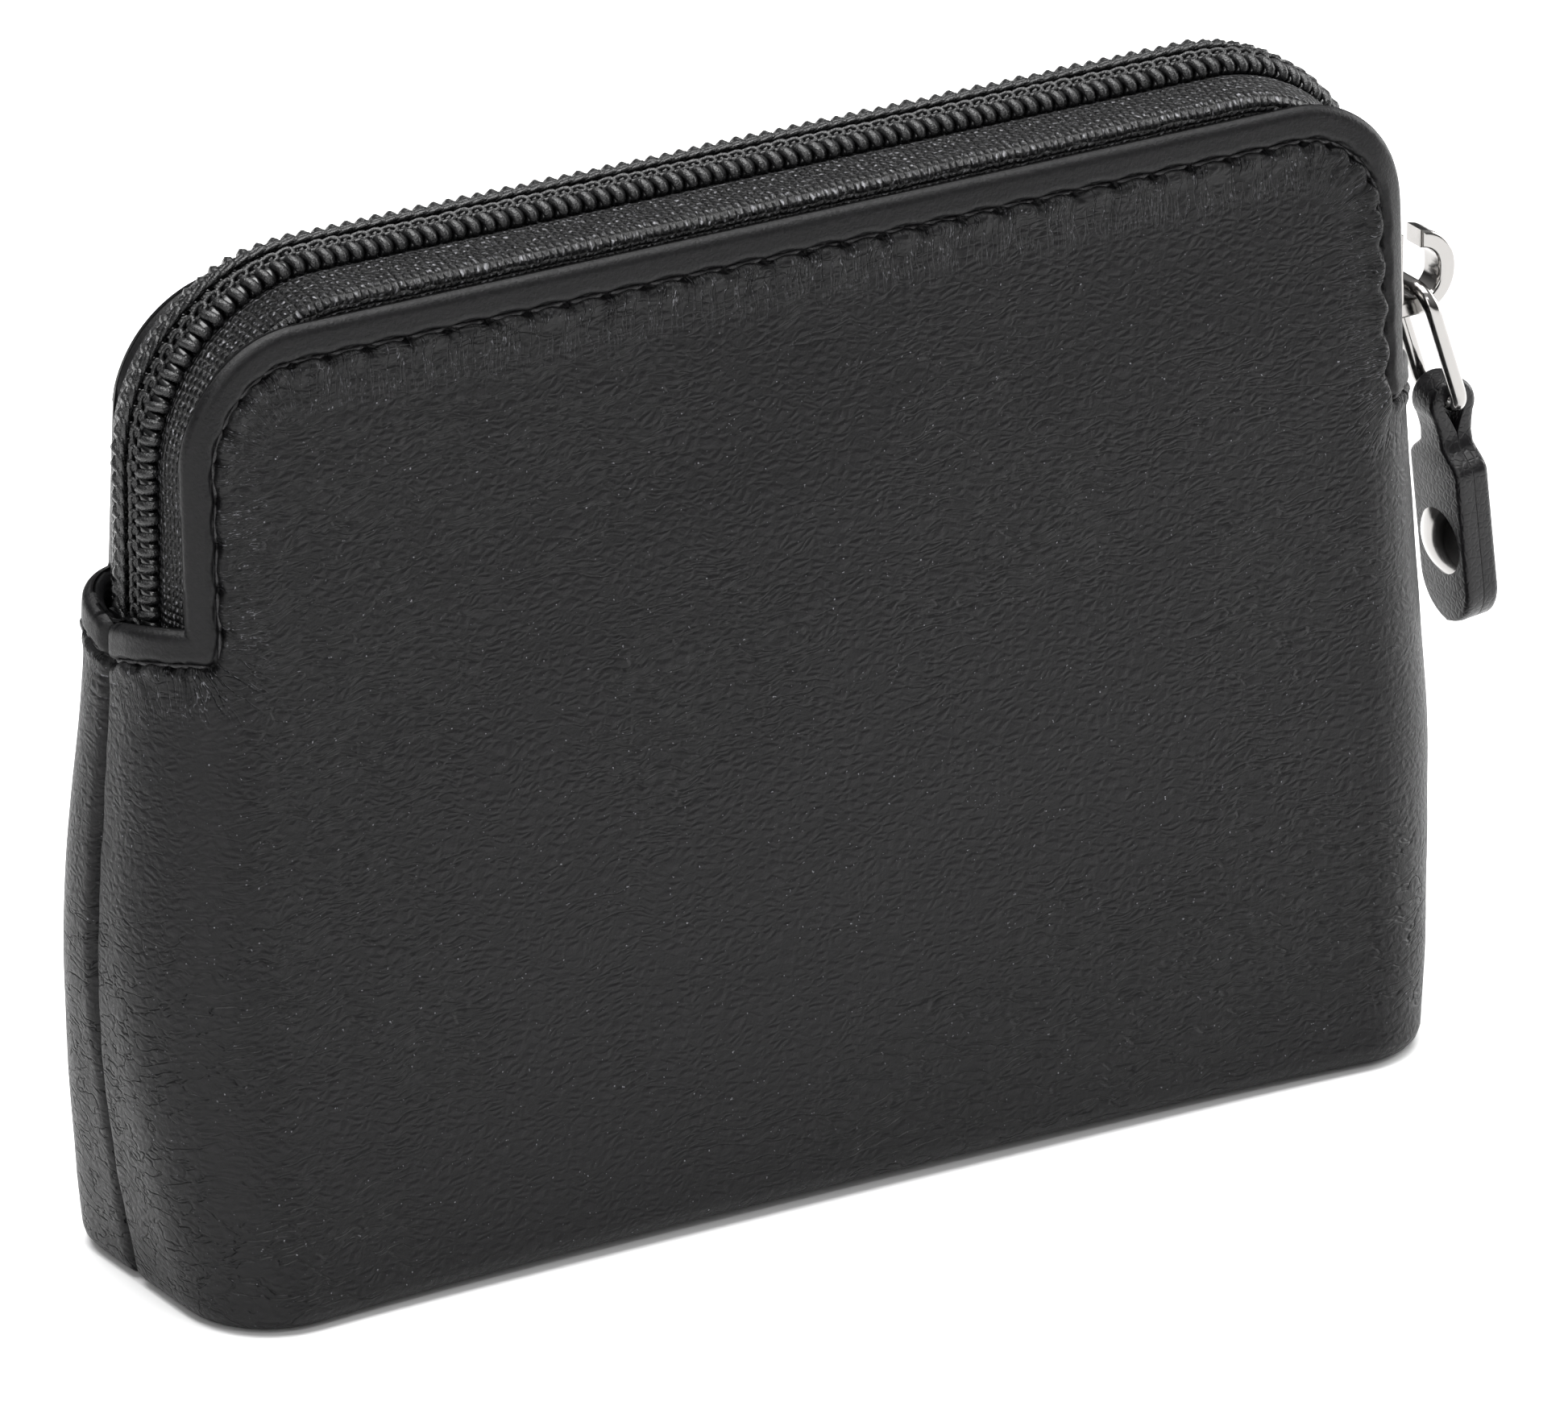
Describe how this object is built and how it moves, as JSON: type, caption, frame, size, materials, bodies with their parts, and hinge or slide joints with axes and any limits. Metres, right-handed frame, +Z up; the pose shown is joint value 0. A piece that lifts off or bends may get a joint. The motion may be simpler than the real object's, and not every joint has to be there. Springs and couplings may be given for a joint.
{
  "type": "coin purse",
  "caption": "Boxed leather coin purse with a coil zip over its top and shoulders, and a chrome slider with ring and leather pull.",
  "frame": {"origin": "centre of the flat base, on the surface the purse stands on", "axes": "+Z up, X along the purse's width with the parked slider at +X, front panel faces -Y"},
  "size_m": [0.1266, 0.0268, 0.0826],
  "materials": {
    "leather": "fine pebble grain, semi-matte black",
    "lining": "thin woven lining, black",
    "tape": "woven polyester, black with a slight sheen",
    "coil": "glossy black monofilament",
    "cord": "twisted black cord",
    "thread": "black polyester thread",
    "stop_metal": "black lacquered",
    "chrome": "bright nickel-chrome plating"
  },
  "bodies": {
    "purse": {"front_panel": "leather", "back_panel": "leather", "front_lining": "lining", "back_lining": "lining", "front_zip_tape": "tape", "back_zip_tape": "tape", "front_coil": "coil", "back_coil": "coil", "front_coil_cord": "cord", "back_coil_cord": "cord", "front_coil_thread": "thread", "back_coil_thread": "thread", "front_topstitching": "thread", "back_topstitching": "thread", "left_seam_stitching": "thread", "right_seam_stitching": "thread", "front_top_stop": "stop_metal", "back_top_stop": "stop_metal", "bottom_stop": "stop_metal"},
    "slider": {"slider_body": "chrome", "slider_crown": "chrome"},
    "ring": {"pull_ring": "chrome"},
    "tab": {"pull_tab": "leather", "rivet_cap": "chrome", "rivet_post": "chrome"}
  },
  "joints": [
    {"name": "slider_travel", "type": "slide", "parent": "purse", "child": "slider", "axis": [0, 0, 1], "range_m": [0, 0.0025]},
    {"name": "ring_swing", "type": "hinge", "parent": "slider", "child": "ring", "pos_m": [0.06035, 0, 0.05895], "axis": [0, -1, 0], "range_deg": [0, 116]},
    {"name": "tab_swing", "type": "hinge", "parent": "ring", "child": "tab", "pos_m": [0.06382, 0, 0.04851], "axis": [0, -1, 0], "range_deg": [0, 75]}
  ]
}
